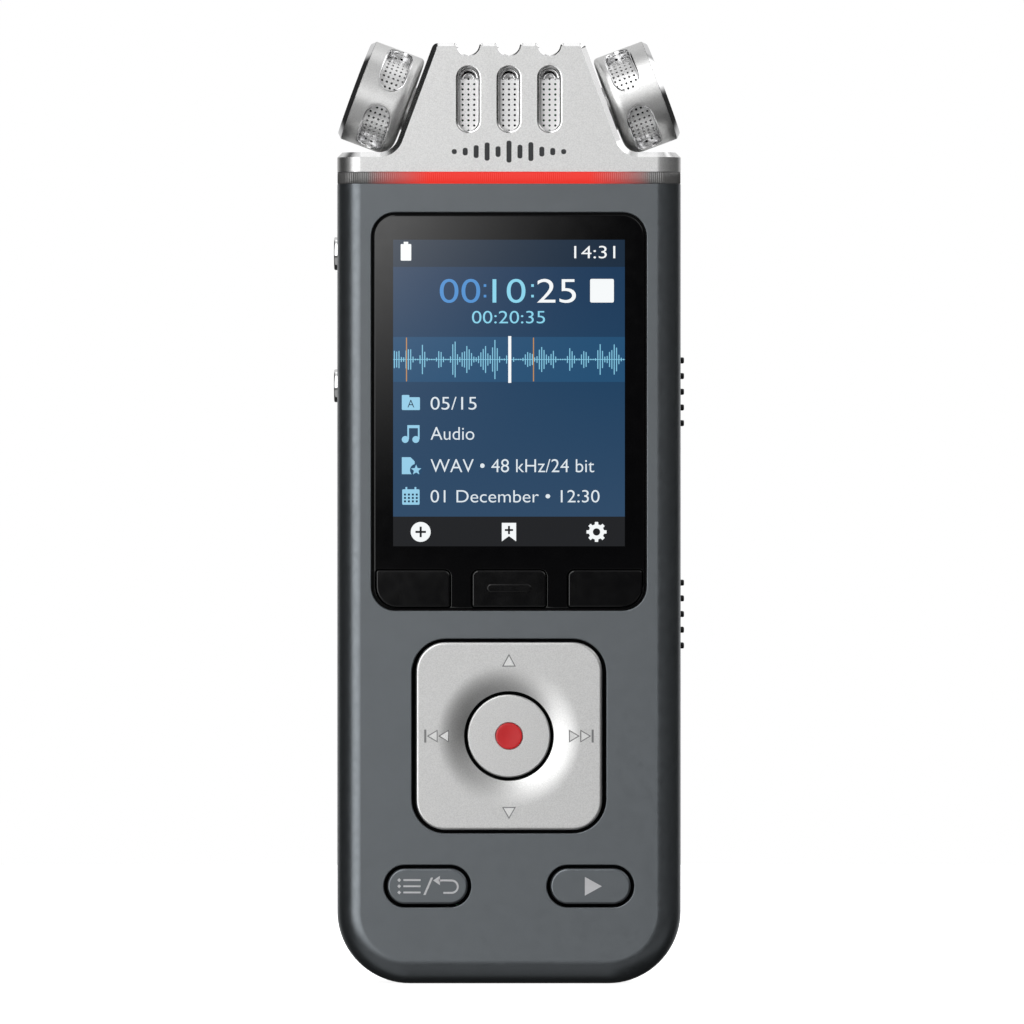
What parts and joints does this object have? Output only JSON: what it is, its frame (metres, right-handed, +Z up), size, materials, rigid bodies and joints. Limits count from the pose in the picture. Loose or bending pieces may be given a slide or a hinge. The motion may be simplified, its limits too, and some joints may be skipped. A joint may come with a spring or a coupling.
{
  "type": "portable field recorder",
  "caption": "Slim upright field recorder with tilted drum microphone pods, colour display, rocking direction pad, record button and side slide switches.",
  "frame": {"origin": "middle of the bottom end, on the surface the recorder stands on", "axes": "+Z up along the recorder to the microphone head, the display faces -Y, +X is the user's right when looking at the display"},
  "size_m": [0.0466, 0.0169, 0.1253],
  "materials": {
    "anthracite": "satin metallic paint",
    "dark_plastic": "fine matt texture",
    "satin_silver": "bead-blasted satin",
    "pad_silver": "satin silver lacquer",
    "polished_steel": "polished",
    "mesh_silver": "perforated sheet",
    "gloss_black": "high gloss",
    "lcd_panel": "lit display",
    "light_band": "translucent, lit from inside",
    "led_strip": "white board",
    "record_red": "satin",
    "soft_rubber": "matt silicone",
    "circuit_board": "solder mask",
    "battery_wrap": "foil pouch",
    "contact_steel": "stamped steel",
    "brass": "turned"
  },
  "bodies": {
    "housing": {"front_housing": "anthracite", "rear_housing": "dark_plastic", "head_shell": "satin_silver", "light_band": "light_band", "led_strip": "led_strip", "display_lens": "gloss_black", "lcd_panel": "lcd_panel", "key_mat": "soft_rubber", "dome_sheet": "contact_steel", "main_board": "circuit_board", "mic_board": "circuit_board", "battery": "battery_wrap", "battery_tray": "contact_steel", "loudspeaker": "dark_plastic", "microphone_jack": "dark_plastic", "earphone_jack": "dark_plastic", "microphone_jack_collar": "satin_silver", "earphone_jack_collar": "satin_silver", "power_switch": "dark_plastic", "mode_switch": "dark_plastic", "usb_socket": "contact_steel", "tripod_insert": "brass", "housing_screw_1": "contact_steel", "housing_screw_2": "contact_steel", "housing_screw_3": "contact_steel", "housing_screw_4": "contact_steel", "left_pod_shell": "satin_silver", "right_pod_shell": "satin_silver", "left_pod_rim": "polished_steel", "right_pod_rim": "polished_steel", "left_pod_grille": "mesh_silver", "right_pod_grille": "mesh_silver", "left_face_grille": "mesh_silver", "right_face_grille": "mesh_silver", "left_mic_capsule": "contact_steel", "right_mic_capsule": "contact_steel", "left_mic_boot": "soft_rubber", "right_mic_boot": "soft_rubber", "centre_grille_front": "mesh_silver", "centre_grille_rear": "mesh_silver", "centre_mic_capsule": "contact_steel", "centre_mic_boot": "soft_rubber"},
    "pad_web": {"nav_pivot_ring": "soft_rubber"},
    "pad": {"nav_plate": "pad_silver"},
    "record_key": {"record_button": "pad_silver", "record_dot": "record_red"},
    "left_softkey": {"softkey_left": "gloss_black"},
    "middle_softkey": {"softkey_middle": "gloss_black"},
    "right_softkey": {"softkey_right": "gloss_black"},
    "menu_key": {"menu_button": "anthracite"},
    "play_key": {"play_button": "anthracite"},
    "power_knob": {"power_slider": "dark_plastic"},
    "mode_knob": {"mode_slider": "dark_plastic"}
  },
  "joints": [
    {"name": "pad_rock_up_down", "type": "hinge", "parent": "housing", "child": "pad_web", "pos_m": [0, -0.00543, 0.0329], "axis": [1, 0, 0], "range_deg": [-2, 2], "stiffness_Nm_per_rad": 0.3},
    {"name": "pad_rock_sideways", "type": "hinge", "parent": "pad_web", "child": "pad", "pos_m": [0, -0.00543, 0.0329], "axis": [0, 0, 1], "range_deg": [-2, 2], "stiffness_Nm_per_rad": 0.3},
    {"name": "record_press", "type": "slide", "parent": "housing", "child": "record_key", "axis": [0, 1, 0], "range_m": [0, 0.0004], "stiffness_N_per_m": 400},
    {"name": "softkey_left_press", "type": "slide", "parent": "housing", "child": "left_softkey", "axis": [0, 1, 0], "range_m": [0, 0.0004], "stiffness_N_per_m": 400},
    {"name": "softkey_middle_press", "type": "slide", "parent": "housing", "child": "middle_softkey", "axis": [0, 1, 0], "range_m": [0, 0.0004], "stiffness_N_per_m": 400},
    {"name": "softkey_right_press", "type": "slide", "parent": "housing", "child": "right_softkey", "axis": [0, 1, 0], "range_m": [0, 0.0004], "stiffness_N_per_m": 400},
    {"name": "menu_press", "type": "slide", "parent": "housing", "child": "menu_key", "axis": [0, 1, 0], "range_m": [0, 0.0004], "stiffness_N_per_m": 400},
    {"name": "play_press", "type": "slide", "parent": "housing", "child": "play_key", "axis": [0, 1, 0], "range_m": [0, 0.0004], "stiffness_N_per_m": 400},
    {"name": "power_slide", "type": "slide", "parent": "housing", "child": "power_knob", "axis": [0, 0, 1], "range_m": [-0.002, 0.002]},
    {"name": "mode_slide", "type": "slide", "parent": "housing", "child": "mode_knob", "axis": [0, 0, 1], "range_m": [-0.002, 0.002]}
  ]
}
